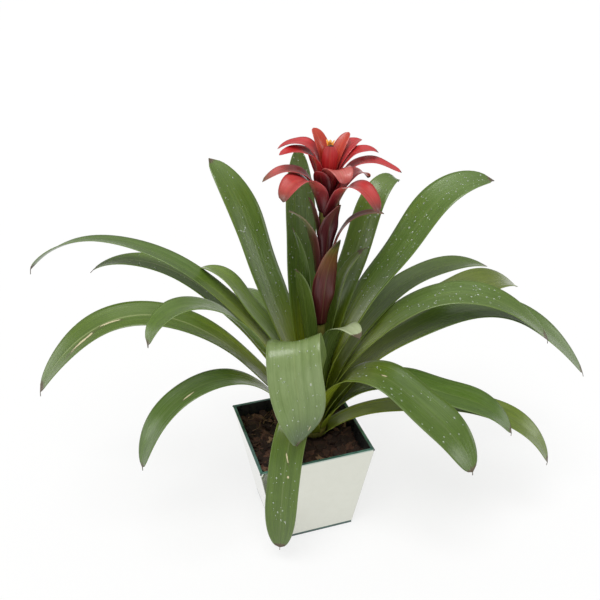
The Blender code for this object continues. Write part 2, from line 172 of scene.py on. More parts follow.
# What sets one leaf apart: colour, dry tail in metres, its curl in degrees, share of the tip that
# has dried, and how pale its midrib is.
PLAIN_LEAF = (LEAF_GREEN, 0.003, -40, 0.010, 0.1)
LEAF_LOOKS = {
    "leaf_right_low": ((0.16, 0.222, 0.018), 0.007, -60, 0.015, 0.1),
    "leaf_left_low": ((0.079, 0.147, 0.016), 0.005, -30, 0.012, 0.1),
    "leaf_front_hanging": ((0.088, 0.155, 0.012), 0.004, 60, 0.025, 0.15),
    "leaf_right_second": ((0.088, 0.163, 0.02), 0.006, -70, 0.015, 0.1),
    "leaf_left_third": ((0.106, 0.177, 0.02), 0.008, -60, 0.02, 0.5),
    "leaf_right_long": ((0.106, 0.184, 0.026), 0.007, -60, 0.015, 0.1),
    "leaf_right_broad": ((0.088, 0.155, 0.018), 0.005, -50, 0.015, 0.1),
    # leaf_left_second: its strong pale midrib is partly the midrib and partly painted highlight along it.
    "leaf_left_second": ((0.133, 0.222, 0.024), 0.006, -40, 0.015, 0.6),
    "leaf_left_long": ((0.098, 0.177, 0.022), 0.009, -90, 0.02, 0.1),
    "leaf_right_olive": ((0.15, 0.199, 0.018), 0.004, -40, 0.012, 0.1),
    "leaf_left_curled": ((0.106, 0.184, 0.02), 0.004, -60, 0.012, 0.1),
    "leaf_right_arched": ((0.11, 0.184, 0.026), 0.008, -80, 0.018, 0.1),
    "leaf_left_short": ((0.142, 0.222, 0.02), 0.003, -30, 0.008, 0.1),
    "leaf_front_folded": ((0.195, 0.288, 0.054), 0.003, 40, 0.012, 0.1),
    "leaf_left_tall": ((0.115, 0.192, 0.026), 0.003, -20, 0.008, 0.1),
    "leaf_back_upright": ((0.106, 0.184, 0.024), 0.003, -20, 0.008, 0.1),
    "leaf_front_short": ((0.195, 0.28, 0.041), 0.003, -40, 0.03, 0.1),
    "leaf_right_tall": ((0.11, 0.192, 0.027), 0.004, -40, 0.01, 0.1),
    "leaf_inner_right": ((0.15, 0.222, 0.027), 0.006, -90, 0.03, 0.1),
}
PLAIN_BRACT = (HEAD_RED, 0.0, 0, 0.0, 0.1)
BRACT_LOOKS = {
    "bract_head_3": (HEAD_RED, 0.0, 0, 0.05, 0.1),
    "bract_head_6": (HEAD_RED, 0.0, 0, 0.02, 0.1),
    "bract_head_10": (HEAD_RED, 0.0, 0, 0.04, 0.1),
    "bract_head_13": (HEAD_RED, 0.0, 0, 0.05, 0.1),
}

# Colour along a strap, as (share of the length, colour) from its foot; others go from the usual
# foot to their own colour.
SHADES = {
    "leaf_right_low": ((0.0, (0.38, 0.44, 0.04)), (0.34, (0.34, 0.4, 0.035)), (0.55, (0.14, 0.2, 0.02))),
    "leaf_left_short": ((0.0, (0.23, 0.31, 0.04)), (0.5, (0.17, 0.26, 0.03))),
    # leaf_front_folded: its pale whitish green, bluest at 0.7, is the leaf's light green with painted sheen
    # laid in; the tip is darker green.
    "leaf_front_folded": ((0.0, (0.23, 0.31, 0.06)), (0.45, (0.2, 0.28, 0.09)), (0.7, (0.235, 0.315, 0.13)),
                          (0.84, (0.19, 0.27, 0.095)), (0.97, (0.07, 0.135, 0.022))),
    # leaf_front_short: the pale whitish tip from 0.84 on is painted highlight on its curled-over tip.
    "leaf_front_short": ((0.0, (0.2, 0.26, 0.03)), (0.4, (0.055, 0.09, 0.014)), (0.76, (0.06, 0.1, 0.016)),
                         (0.84, (0.5, 0.56, 0.36))),
    "leaf_inner_left": ((0.0, (0.08, 0.03, 0.02)), (0.16, (0.26, 0.27, 0.03)), (0.45, (0.09, 0.14, 0.018))),
    "leaf_inner_right": ((0.0, (0.3, 0.35, 0.045)), (0.5, (0.13, 0.19, 0.025))),
    "leaf_inner_small": ((0.0, (0.2, 0.2, 0.03)), (0.5, (0.07, 0.12, 0.018))),
    # bract_stalk_1: the dark green at its tip is green darkened as painted shade of its folded-over top.
    "bract_stalk_1": ((0.0, (0.08, 0.008, 0.012)), (0.5, (0.09, 0.007, 0.012)), (0.78, (0.17, 0.06, 0.012)),
                      (0.88, (0.13, 0.12, 0.014)), (0.94, (0.026, 0.044, 0.01))),
    "bract_stalk_2": ((0.0, (0.07, 0.01, 0.014)), (0.3, (0.22, 0.04, 0.036)), (0.7, (0.2, 0.075, 0.045)),
                      (1.0, (0.16, 0.13, 0.055))),
    "bract_stalk_3": ((0.0, (0.07, 0.01, 0.014)), (0.45, (0.11, 0.03, 0.024)), (0.75, (0.17, 0.19, 0.09)),
                      (1.0, (0.26, 0.31, 0.17))),
    "bract_stalk_4": ((0.0, (0.07, 0.006, 0.012)), (0.6, (0.065, 0.006, 0.011)), (1.0, (0.11, 0.012, 0.012))),
    "bract_stalk_5": ((0.0, (0.06, 0.009, 0.013)), (1.0, (0.11, 0.016, 0.02))),
    "bract_stalk_6": ((0.0, (0.06, 0.009, 0.013)), (0.45, (0.2, 0.09, 0.022)), (0.85, (0.19, 0.11, 0.03)),
                      (1.0, (0.08, 0.04, 0.02))),
    # Head bracts: the dark red at each foot, and over most of head_4 deep in the head, is their red darkened
    # as painted shade.
    "bract_head_1": ((0.0, (0.075, 0.004, 0.009)), (0.3, (0.2, 0.008, 0.016)), (0.48, (0.64, 0.06, 0.062)),
                     (0.8, (0.56, 0.05, 0.045)), (1.0, (0.11, 0.022, 0.014))),
    "bract_head_2": ((0.0, (0.075, 0.004, 0.009)), (0.3, (0.2, 0.008, 0.016)), (0.48, (0.64, 0.07, 0.075)),
                     (0.82, (0.56, 0.06, 0.05)), (1.0, (0.13, 0.045, 0.018))),
    "bract_head_4": ((0.0, (0.075, 0.004, 0.009)), (0.7, (0.11, 0.005, 0.01)), (1.0, (0.3, 0.012, 0.018))),
    "bract_head_5": ((0.0, (0.05, 0.007, 0.01)), (0.38, (0.48, 0.05, 0.045)), (0.8, (0.56, 0.09, 0.08)),
                     (1.0, (0.16, 0.1, 0.04))),
    "bract_head_7": ((0.0, (0.075, 0.004, 0.009)), (0.36, (0.26, 0.01, 0.018)), (0.58, (0.64, 0.12, 0.1)),
                     (0.86, (0.64, 0.15, 0.125)), (1.0, (0.42, 0.04, 0.036))),
    "bract_head_14": ((0.0, (0.3, 0.02, 0.014)), (0.5, (0.6, 0.05, 0.02))),
    "bract_head_15": ((0.0, (0.32, 0.022, 0.014)), (0.5, (0.62, 0.058, 0.022))),
}

# Healed scars on the leaves: leaf, share of the length, place across from -1 to 1, half length and
# half width in metres, and turn in degrees.
SCARS = (
    ("leaf_left_third", 0.8, 0.35, 0.022, 0.0026, 8),
    ("leaf_left_third", 0.7, 0.1, 0.012, 0.0014, -6),
    ("leaf_left_low", 0.66, 0.3, 0.009, 0.0012, 6),
    ("leaf_front_hanging", 0.52, 0.05, 0.006, 0.0009, 20),
    ("leaf_front_hanging", 0.6, 0.25, 0.0013, 0.0011, 0),
    ("leaf_right_broad", 0.45, 0.1, 0.004, 0.001, 10),
    ("leaf_front_folded", 0.93, 0.6, 0.004, 0.001, 0),
)

# Dew: leaf, from and to as shares of the length, and how many drops.
DEW = (
    ("leaf_right_tall", 0.35, 0.97, 162),
    ("leaf_back_upright", 0.40, 0.98, 82),
    ("leaf_right_upright", 0.45, 0.97, 61),
    ("leaf_left_tall", 0.35, 0.97, 72),
    ("leaf_right_arched", 0.40, 0.80, 79),
    ("leaf_front_folded", 0.52, 0.95, 54),
    ("leaf_front_hanging", 0.48, 0.85, 32),
    ("leaf_right_broad", 0.30, 0.85, 46),
    ("leaf_left_second", 0.40, 0.90, 36),
)


# ---------------------------------------------------------------- sizes and colours a user may change
def color(name, description, default):
    return bpy.props.FloatVectorProperty(
        name=name, description=description, subtype="COLOR", size=3, min=0.0, max=1.0, default=default)


def length(name, description, default):
    return bpy.props.FloatProperty(
        name=name, description=description, unit="LENGTH", precision=4, min=0.0, default=default)


class PotSettings(bpy.types.PropertyGroup):
    rim: length("Rim", "Outer side of the rim", round(PANEL_HIGH.x - PANEL_LOW.x, 4))
    foot: length("Foot", "Outer side of the foot", round(PLATE_HIGH.x - PLATE_LOW.x, 4))
    height: length("Height", "Height of the rim", round(PANEL_HIGH.z, 4))
    glass: length("Glass", "Thickness of a panel", 0.0035)
    plate: length("Base plate", "Thickness of the base plate", round(PLATE_HIGH.z, 4))
    arris: length("Arris", "Width of the polished corners of the glass", 0.00035)
    mirror: color("Mirror", "Silvering seen through the glass", (0.70, 0.707, 0.635))
    edge: color("Edge", "Polished edge of the glass", (0.038, 0.105, 0.085))
    backing: color("Backing", "Paint on the back of the mirror", (0.010, 0.012, 0.013))


class BarkSettings(bpy.types.PropertyGroup):
    rows: bpy.props.IntProperty(name="Rows", description="Chips along a side", min=4, max=30, default=17)
    chip: length("Chip", "Length of a usual chip", 0.0150)
    dark: color("Dark bark", "Weathered side of a chip", (0.020, 0.011, 0.008))
    light: color("Light bark", "Fresh broken side of a chip", (0.135, 0.062, 0.040))


class PlantSettings(bpy.types.PropertyGroup):
    leaf_thick: length("Leaf thickness", "Thickness of a leaf", 0.0007)
    bract_thick: length("Bract thickness", "Thickness of a bract", 0.0006)
    dry: color("Dry tip", "Dried tip of a leaf", (0.105, 0.078, 0.042))
    scar: color("Scar", "Healed scar", (0.66, 0.60, 0.36))
    stalk: color("Stalk", "Stem between the bracts", (0.34, 0.33, 0.07))
    petal: color("Petal", "Petals of the small flower", (0.90, 0.50, 0.08))


class StageSettings(bpy.types.PropertyGroup):
    floor: color("Floor", "Pale floor", (0.95, 0.95, 0.945))
    lamp: bpy.props.FloatProperty(
        name="Lamp", description="Strength of the soft lamp", min=0.0, default=1.9)
    sky: bpy.props.FloatProperty(
        name="Room", description="Strength of the room's light", min=0.0, default=0.50)


# ---------------------------------------------------------------- node trees
def put(tree, kind, values=None, **settings):
    """Adds a node with its settings; each of its inputs is a value or the socket that feeds it."""
    made = tree.nodes.new(kind)
    for key, value in settings.items():
        setattr(made, key, value)
    for key, value in (values or {}).items():
        if isinstance(value, bpy.types.NodeSocket):
            tree.links.new(value, made.inputs[key])
        else:
            made.inputs[key].default_value = value
    return made


def calc(tree, operation, a, b=0.0, clamp=False):
    return put(tree, "ShaderNodeMath", {0: a, 1: b}, operation=operation, use_clamp=clamp).outputs[0]


def times(tree, a, b):
    return calc(tree, "MULTIPLY", a, b)


def ramp(tree, value, low, high, to_low=0.0, to_high=1.0):
    """Smooth step of a value between two levels."""
    values = {"Value": value, "From Min": low, "From Max": high, "To Min": to_low, "To Max": to_high}
    return put(tree, "ShaderNodeMapRange", values, interpolation_type="SMOOTHSTEP").outputs[0]


def paint(tree, share, under, over, blend="MIX"):
    """Lays one colour over another by a mask."""
    sockets = bpy.types.NodeSocket
    under, over = (value if isinstance(value, sockets) else (*value, 1.0) for value in (under, over))
    values = {0: share, 6: under, 7: over}
    return put(tree, "ShaderNodeMix", values, data_type="RGBA", blend_type=blend).outputs[2]


def stretch(tree, vector, scale):
    return put(tree, "ShaderNodeVectorMath", {0: vector, 1: scale}, operation="MULTIPLY").outputs[0]


def grain(tree, vector, scale, detail=3.0, rough=0.55, dimensions="3D"):
    values = {"Vector": vector, "Scale": scale, "Detail": detail, "Roughness": rough}
    return put(tree, "ShaderNodeTexNoise", values, noise_dimensions=dimensions).outputs[0]


def own_place(tree):
    return put(tree, "ShaderNodeTexCoord").outputs["Object"]


def crumbly(tree, scale):
    """Crumbly patches and their height, on the piece's own place."""
    values = {"Vector": own_place(tree), "Scale": scale}
    made = put(tree, "ShaderNodeGroup", values, node_tree=crumble_group())
    return made.outputs["Patch"], made.outputs["Height"]


def any_ray(tree, path, *kinds):
    """1 for a ray of any of the named kinds."""
    seen = path.outputs[f"Is {kinds[0]} Ray"]
    for kind in kinds[1:]:
        seen = calc(tree, "ADD", seen, path.outputs[f"Is {kind} Ray"], clamp=True)
    return seen


def attribute(tree, name):
    return put(tree, "ShaderNodeAttribute", attribute_name=name)


def new_group(name, inputs, outputs):
    """An empty node group with named sockets, and its input and output nodes."""
    group = bpy.data.node_groups.new(name, "ShaderNodeTree")
    for label, kind in inputs:
        group.interface.new_socket(label, in_out="INPUT", socket_type=kind)
    for label, kind in outputs:
        group.interface.new_socket(label, in_out="OUTPUT", socket_type=kind)
    return group, group.nodes.new("NodeGroupInput"), group.nodes.new("NodeGroupOutput")


def lines_group():
    """Fine lines and broad streaks that run along a leaf, from its flat pattern in metres."""
    if "Lengthwise lines" in bpy.data.node_groups:
        return bpy.data.node_groups["Lengthwise lines"]
    tree, given, out = new_group(
        "Lengthwise lines", (("Strap", "NodeSocketVector"),),
        (("Fine", "NodeSocketFloat"), ("Broad", "NodeSocketFloat"), ("Mottle", "NodeSocketFloat")))
    strap = given.outputs["Strap"]
    fine = grain(tree, stretch(tree, strap, (1500.0, 18.0, 1.0)), 1.0, 2.0, 0.6, "2D")
    broad = grain(tree, stretch(tree, strap, (260.0, 7.0, 1.0)), 1.0, 3.0, 0.55, "2D")
    mottle = grain(tree, stretch(tree, strap, (120.0, 60.0, 1.0)), 1.0, 4.0, 0.6, "2D")
    tree.links.new(ramp(tree, fine, 0.32, 0.68), out.inputs["Fine"])
    tree.links.new(ramp(tree, broad, 0.30, 0.70), out.inputs["Broad"])
    tree.links.new(ramp(tree, mottle, 0.30, 0.70), out.inputs["Mottle"])
    return tree


def crumble_group():
    """Patchy light and dark of rough, dry stuff, with its height."""
    if "Crumbly patches" in bpy.data.node_groups:
        return bpy.data.node_groups["Crumbly patches"]
    tree, given, out = new_group(
        "Crumbly patches", (("Vector", "NodeSocketVector"), ("Scale", "NodeSocketFloat")),
        (("Patch", "NodeSocketFloat"), ("Height", "NodeSocketFloat")))
    patch = grain(tree, given.outputs["Vector"], given.outputs["Scale"], 5.0, 0.62)
    values = {"Vector": given.outputs["Vector"], "Scale": given.outputs["Scale"]}
    cells = put(tree, "ShaderNodeTexVoronoi", values, feature="F1").outputs["Distance"]
    tree.links.new(ramp(tree, patch, 0.34, 0.66), out.inputs["Patch"])
    tree.links.new(calc(tree, "ADD", patch, times(tree, cells, 0.4)), out.inputs["Height"])
    return tree


def new_material(name, roughness=0.5, metallic=0.0, specular=0.5):
    """A material with its own Principled shader, and that shader."""
    mat = bpy.data.materials.new(name)
    mat.use_nodes = True
    shader = mat.node_tree.nodes["Principled BSDF"]
    shader.inputs["Roughness"].default_value = roughness
    shader.inputs["Metallic"].default_value = metallic
    shader.inputs["Specular IOR Level"].default_value = specular
    return mat, mat.node_tree, shader


def feed(tree, shader, **sockets):
    """Links sockets to the shader by the name of its input, with _ for a space."""
    for key, socket in sockets.items():
        tree.links.new(socket, shader.inputs[key.replace("_", " ")])


def bump(tree, height, strength, distance):
    values = {"Height": height, "Strength": strength, "Distance": distance}
    return put(tree, "ShaderNodeBump", values).outputs[0]


def scar_mask(tree, uv_name, mottle):
    """1 inside a scar, with a ragged border, from the map that is centred on it."""
    at = put(tree, "ShaderNodeUVMap", uv_map=uv_name).outputs[0]
    away = put(tree, "ShaderNodeVectorMath", {0: at}, operation="LENGTH").outputs["Value"]
    ragged = calc(tree, "ADD", away, times(tree, mottle, 0.7))
    return ramp(tree, ragged, 1.35, 1.05), ramp(tree, ragged, 1.9, 1.3)


def strap_material(name, dry, scar, roughness, coat, lighter, pale):
    """Skin of a leaf or bract: its own colour, lengthwise lines, midrib, dry tip and scars."""
    mat, tree, shader = new_material(name, roughness, specular=0.40)
    strap = put(tree, "ShaderNodeUVMap", uv_map="strap").outputs[0]
    lines = put(tree, "ShaderNodeGroup", {"Strap": strap}, node_tree=lines_group())
    fine, broad, mottle = (lines.outputs[key] for key in ("Fine", "Broad", "Mottle"))
    share = attribute(tree, "share").outputs["Fac"]
    side = calc(tree, "ABSOLUTE", attribute(tree, "side").outputs["Fac"])
    tint = attribute(tree, "tint").outputs["Color"]

    skin = paint(tree, times(tree, broad, 0.55), tint, lighter, "MULTIPLY")
    pale = paint(tree, 0.5, tint, pale)
    skin = paint(tree, times(tree, fine, 0.16), skin, pale)
    skin = paint(tree, times(tree, mottle, 0.35), skin, (0.72, 0.74, 0.62), "MULTIPLY")
    rib = times(tree, ramp(tree, side, 0.07, 0.015), attribute(tree, "rib").outputs["Fac"])
    skin = paint(tree, times(tree, rib, ramp(tree, share, 0.98, 0.80)), skin, (0.40, 0.46, 0.20))
    margin = ramp(tree, side, 0.93, 1.0)
    skin = paint(tree, times(tree, margin, 0.35), skin, pale)
    waver = times(tree, calc(tree, "SUBTRACT", broad, 0.5), 0.10)
    dried = calc(tree, "SUBTRACT", 1.0, attribute(tree, "dried").outputs["Fac"])
    past = calc(tree, "SUBTRACT", calc(tree, "ADD", share, times(tree, waver, 0.12)), dried)
    tip = ramp(tree, past, -0.006, 0.004)
    skin = paint(tree, tip, skin, dry)
    core_a, ring_a = scar_mask(tree, "scar_a", mottle)
    core_b, ring_b = scar_mask(tree, "scar_b", mottle)
    core, ring = calc(tree, "MAXIMUM", core_a, core_b), calc(tree, "MAXIMUM", ring_a, ring_b)
    skin = paint(tree, times(tree, ring, 0.55), skin, dry)
    skin = paint(tree, core, skin, scar)

    dull = calc(tree, "MAXIMUM", calc(tree, "MAXIMUM", tip, core), times(tree, broad, 0.22))
    rough = calc(tree, "ADD", roughness, times(tree, dull, 0.4), clamp=True)
    height = calc(tree, "ADD", times(tree, fine, 0.35), times(tree, broad, 0.8))
    height = calc(tree, "SUBTRACT", height, times(tree, core, 1.2))
    feed(tree, shader, Base_Color=skin, Roughness=rough, Normal=bump(tree, height, 0.35, 0.0004))
    shader.inputs["Coat Weight"].default_value = coat
    shader.inputs["Coat Roughness"].default_value = 0.16
    return mat


def mirror_material(look):
    """Silvered glass seen from its face, with faint dust and a greener line under the rim."""
    mat, tree, shader = new_material("mirrored_face", 0.04, 1.0)
    patch, _ = crumbly(tree, 90.0)
    level = put(tree, "ShaderNodeSeparateXYZ", {0: own_place(tree)}).outputs["Z"]
    skin = paint(tree, times(tree, patch, 0.5), look.mirror, (0.97, 0.97, 0.96), "MULTIPLY")
    line = ramp(tree, level, look.height - 0.0022, look.height - 0.0012)
    skin = paint(tree, times(tree, line, 0.6), skin, (0.30, 0.42, 0.37))
    foot = ramp(tree, level, look.plate + 0.0014, look.plate + 0.0006)
    skin = paint(tree, times(tree, foot, 0.5), skin, (0.36, 0.44, 0.40))
    feed(tree, shader, Base_Color=skin,
         Roughness=calc(tree, "ADD", 0.03, times(tree, patch, 0.05)))
    return mat


def edge_material(name, tint):
    """Polished green edge of the glass, with light caught along it."""
    mat, tree, shader = new_material(name, 0.12)
    at = own_place(tree)
    streak = ramp(tree, grain(tree, stretch(tree, at, (1.0, 1.0, 6.0)), 60.0, 3.0), 0.35, 0.65)
    lighter = tuple(min(1.0, value * 2.2 + 0.02) for value in tint)
    feed(tree, shader, Base_Color=paint(tree, times(tree, streak, 0.55), tint, lighter),
         Roughness=calc(tree, "ADD", 0.08, times(tree, streak, 0.12)))
    shader.inputs["Coat Weight"].default_value = 0.6
    shader.inputs["Coat Roughness"].default_value = 0.05
    return mat


def backing_material(look):
    """Dark paint on the back of the mirror, a little scuffed."""
    mat, tree, shader = new_material("mirror_backing", 0.32)
    patch, _ = crumbly(tree, 140.0)
    feed(tree, shader,
         Base_Color=paint(tree, times(tree, patch, 0.35), look.backing, (0.050, 0.046, 0.042)),
         Roughness=calc(tree, "ADD", 0.25, times(tree, patch, 0.25)))
    return mat


def bark_material(look):
    """Broken bark: each chip its own brown, darker weathered patches and a rough grain."""
    mat, tree, shader = new_material("bark", 0.85, specular=0.3)
    patch, rough_height = crumbly(tree, 320.0)
    tone = attribute(tree, "chip").outputs["Fac"]
    mix = calc(tree, "ADD", times(tree, patch, 0.45), times(tree, tone, 0.75), clamp=True)
    skin = paint(tree, times(tree, mix, calc(tree, "ADD", 0.15, tone)), look.dark, look.light)
    fresh = ramp(tree, tone, 0.90, 0.97)
    skin = paint(tree, fresh, skin, (0.26, 0.155, 0.090))
    feed(tree, shader, Base_Color=skin, Roughness=calc(tree, "ADD", 0.65, times(tree, patch, 0.3)),
         Normal=bump(tree, rough_height, 0.7, 0.0006))
    return mat


def stalk_material(look):
    """Skin of the stem: yellow-green with darker lengthwise flecks."""
    mat, tree, shader = new_material("stalk", 0.42)
    at = own_place(tree)
    streak = ramp(tree, grain(tree, stretch(tree, at, (700.0, 700.0, 40.0)), 1.0, 3.0), 0.35, 0.65)
    patch = ramp(tree, grain(tree, at, 120.0, 4.0), 0.4, 0.7)
    skin = paint(tree, times(tree, streak, 0.5), look.stalk, (0.16, 0.20, 0.040))
    skin = paint(tree, times(tree, patch, 0.4), skin, (0.20, 0.12, 0.040))
    feed(tree, shader, Base_Color=skin, Roughness=calc(tree, "ADD", 0.36, times(tree, streak, 0.15)),
         Normal=bump(tree, streak, 0.3, 0.0003))
    return mat


def petal_material(look):
    mat, tree, shader = new_material("petal", 0.5)
    at = own_place(tree)
    patch = ramp(tree, grain(tree, at, 500.0, 3.0), 0.35, 0.7)
    feed(tree, shader, Base_Color=paint(tree, times(tree, patch, 0.6), look.petal, (0.95, 0.36, 0.06)),
         Roughness=calc(tree, "ADD", 0.4, times(tree, patch, 0.2)))
    return mat


def dew_material():
    """Water, pale where it gathers the light."""
    mat, tree, shader = new_material("dew", 0.06, specular=0.6)
    at = own_place(tree)
    cloud = ramp(tree, grain(tree, at, 300.0, 2.0), 0.3, 0.7)
    feed(tree, shader, Base_Color=paint(tree, cloud, (0.86, 0.92, 0.82), (0.62, 0.74, 0.56)))
    shader.inputs["Coat Weight"].default_value = 1.0
    shader.inputs["Coat Roughness"].default_value = 0.03
    shader.inputs["Alpha"].default_value = 0.42
    return mat


# ---------------------------------------------------------------- meshes
def finished(bm, name, materials, smooth=True, replaced=(), normals=True):
    """Turns a bmesh that is already in its place into a piece that rides on the frame."""
    if normals:
        bmesh.ops.recalc_face_normals(bm, faces=bm.faces)
    mesh = bpy.data.meshes.new(name)
    bm.to_mesh(mesh)
    bm.free()
    if smooth:
        mesh.shade_smooth()
    for mat in materials:
        mesh.materials.append(mat)
    piece = bpy.data.objects.new(name, mesh)
    bpy.context.scene.collection.objects.link(piece)
    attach(piece, "root")
    if replaced:
        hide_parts(*replaced)
    return piece


def turned(profile, steps):
    """A profile spun about its axis."""
    bm = bmesh.new()
    verts = [bm.verts.new((r, 0.0, z)) for r, z in profile]
    edges = [bm.edges.new(pair) for pair in zip(verts, verts[1:])]
    bmesh.ops.spin(bm, geom=verts + edges, axis=(0, 0, 1), cent=(0, 0, 0), angle=math.tau,
                   steps=steps, use_merge=True)
    bmesh.ops.remove_doubles(bm, verts=bm.verts, dist=1e-6)
    return bm


def ease(x, low, high):
    t = min(1.0, max(0.0, (x - low) / (high - low)))
    return t * t * (3 - 2 * t)


def plant_frame():
    """The plant's own frame: foot of the stem at the origin, axis along +Z."""
    place = Matrix.Translation((PLANT_AT[0], PLANT_AT[1], BARK_TOP + ROOT_GAP))
    turn = Matrix.Rotation(math.radians(PLANT_TURN), 4, "Z")
    return place @ turn @ Matrix.Rotation(math.radians(LEAN), 4, "Y")


def stem_radius(h):
    if h < CAUDEX_TALL:
        return CAUDEX_FOOT_R + (CAUDEX_TOP_R - CAUDEX_FOOT_R) * h / CAUDEX_TALL
    share = (h - CAUDEX_TALL) / (STEM_TALL - CAUDEX_TALL)
    return CAUDEX_TOP_R + (STEM_TOP_R - CAUDEX_TOP_R) * share


def climb_at(stations, share):
    """Climb of the midline, eased between the stated stations."""
    for (s0, a0), (s1, a1) in zip(stations, stations[1:]):
        if share <= s1:
            t = (share - s0) / (s1 - s0)
            before = stations[max(stations.index((s0, a0)) - 1, 0)]
            after = stations[min(stations.index((s1, a1)) + 1, len(stations) - 1)]
            m0 = (a1 - before[1]) / max(s1 - before[0], 1e-6) * (s1 - s0)
            m1 = (after[1] - a0) / max(after[0] - s0, 1e-6) * (s1 - s0)
            blend = (2 * t**3 - 3 * t**2 + 1) * a0 + (t**3 - 2 * t**2 + t) * m0
            return blend + (3 * t**2 - 2 * t**3) * a1 + (t**3 - t**2) * m1
    return stations[-1][1]


class Strap:
    """The shape of one leaf or bract about its midline."""

    def __init__(self, row, look, leaf, thick):
        self.name, heading, self.foot, self.length, self.half, bend, self.roll, stations = row
        tint, self.tail, curl, self.dried, self.rib = look
        usual = (0.14, LEAF_FOOT), (0.52, tint)
        if not leaf:
            # A bract goes from a foot darkened as painted shade to its own colour.
            usual = (0.0, SHADED_BRACT_FOOT), (0.40, tint)
        self.shades = SHADES.get(self.name, usual)
        self.leaf, self.thick = leaf, thick
        form = LEAF_FORM if leaf else BRACT_FORM
        self.wrap, self.free_from, self.free_to, self.channel, self.shoulder = form
        self.full = 1 + self.tail / self.length
        self.chance = random.Random(self.name)
        self.wave = [self.chance.uniform(0, 6.28) for _ in range(3)]
        heading = math.radians(heading)
        rho = stem_radius(self.foot) + SEAT + thick / 2
        at = Vector((rho * math.cos(heading), rho * math.sin(heading), self.foot))
        self.line = []
        step = self.length * self.full / STEPS
        for i in range(STEPS + 1):
            share = i / STEPS * self.full
            past = max(0.0, share - 1) / max(self.full - 1, 1e-6)
            climb = math.radians(climb_at(stations, min(share, 1.0)) + curl * past)
            way = heading + math.radians(bend) * min(share, 1.0) ** 2
            self.line.append((at.copy(), climb, way))
            ahead, rise = math.cos(climb), math.sin(climb)
            at += step * Vector((ahead * math.cos(way), ahead * math.sin(way), rise))

    def width(self, share, rho):
        """Half width: a clasping foot, a full strap, a pointed tip and a thread of dry tail."""
        x = min(1.0, max(0.0, (share - self.shoulder) / (1 - self.shoulder)))
        body = self.half * (0.86 + 0.14 * ease(share, 0.15, 0.45)) * math.sqrt(1 - x * x)
        thread = LEAF_THREAD if self.leaf else BRACT_THREAD
        return max(min(body, rho * self.wrap), thread * (1.4 - 0.9 * share / self.full))

    def tint(self, share):
        """Colour of the skin at a share of the length."""
        before = self.shades[0]
        for after in self.shades:
            if share <= after[0]:
                part = ease(share, before[0], after[0]) if after[0] > before[0] else 0.0
                return (*Vector(before[1]).lerp(Vector(after[1]), part), 1.0)
            before = after
        return (*before[1], 1.0)

    def at(self, t, share):
        """Point of the middle surface and the way its upper side faces, in the part's frame."""
        here = min(share / self.full * STEPS, STEPS - 1e-6)
        (p0, c0, w0), (p1, c1, w1) = self.line[int(here)], self.line[int(here) + 1]
        part = here - int(here)
        at, climb, way = p0.lerp(p1, part), c0 + (c1 - c0) * part, w0 + (w1 - w0) * part
        rho = math.hypot(at.x, at.y)
        width = self.width(share, rho)
        radial = Vector((at.x / rho, at.y / rho, 0.0))
        left = Vector((-math.sin(way), math.cos(way), 0.0))
        up = Vector((-math.sin(climb) * math.cos(way), -math.sin(climb) * math.sin(way), math.cos(climb)))
        turn = math.radians(self.roll) * ease(share, 0.2, 0.8)
        side = left * math.cos(turn) + up * math.sin(turn)
        lift = up * math.cos(turn) - left * math.sin(turn)
        angle = t * width / rho
        free = ease(share * self.length, self.free_from, self.free_to)
        hugged = at + left * (rho * math.sin(angle)) - radial * (rho * (1 - math.cos(angle)))
        groove = self.channel * (0.55 * t * t + 0.45 * abs(t) ** 1.3)
        ripple = 0.035 * t * t * math.sin(19 * share + self.wave[0] + (1.1 if t > 0 else 0.0))
        ripple += 0.020 * t * math.sin(9 * share + self.wave[1])
        opened = at + side * (t * width) + lift * ((groove + ripple) * width)
        return PLANT @ hugged.lerp(opened, free), (PLANT.to_3x3() @ lift).normalized()

    def piece(self, across, along, mat, slot_name):
        """The blade as a grid laid on the shape, with the maps and tints its skin is painted from."""
        bm = bmesh.new()
        bmesh.ops.create_grid(bm, x_segments=across, y_segments=along, size=1.0)
        layers = bm.verts.layers
        side, share, rib, dried = (layers.float.new(key) for key in ("side", "share", "rib", "dried"))
        tint = layers.float_color.new("tint")
        for vert in bm.verts:
            t, s = vert.co.x, ((vert.co.y + 1) / 2) ** 1.08 * self.full
            vert.co, _ = self.at(t, s)
            vert[side], vert[share], vert[rib], vert[dried] = t, s, self.rib, self.dried
            vert[tint] = self.tint(s)
        self.map_skin(bm, side, share)
        piece = finished(bm, f"{self.name}_blade", [mat], replaced=(self.name,), normals=False)
        shell = piece.modifiers.new("Thickness", "SOLIDIFY")
        shell.thickness = self.thick
        shell.offset = 0.0
        return piece

    def map_skin(self, bm, side, share):
        """Flat pattern in metres, and one map centred on each of up to two scars."""
        strap, first, second = (bm.loops.layers.uv.new(key) for key in ("strap", "scar_a", "scar_b"))
        scars = [scar[1:] for scar in SCARS if scar[0] == self.name]
        shift = self.wave[2]
        for face in bm.faces:
            for loop in face.loops:
                x, y = loop.vert[side] * self.half, loop.vert[share] * self.length
                loop[strap].uv = (x + shift, y + shift)
                for layer, scar in zip((first, second), scars + [None] * (2 - len(scars))):
                    loop[layer].uv = self.from_scar(x, y, scar)

    def from_scar(self, x, y, scar):
        """Place seen from a scar's centre, in units of its half width and half length."""
        if scar is None:
            return 9.0, 9.0
        at_share, across, half_long, half_wide, turn = scar
        dx, dy = x - across * self.half, y - at_share * self.length
        c, s = math.cos(math.radians(turn)), math.sin(math.radians(turn))
        return (dx * c - dy * s) / half_wide, (dx * s + dy * c) / half_long


PLANT = plant_frame()


def all_straps(plant):
    leaves = [Strap(row, LEAF_LOOKS.get(row[0], PLAIN_LEAF), True, plant.leaf_thick) for row in LEAVES]
    bracts = [Strap(row, BRACT_LOOKS.get(row[0], PLAIN_BRACT), False, plant.bract_thick) for row in BRACTS]
    return leaves, bracts


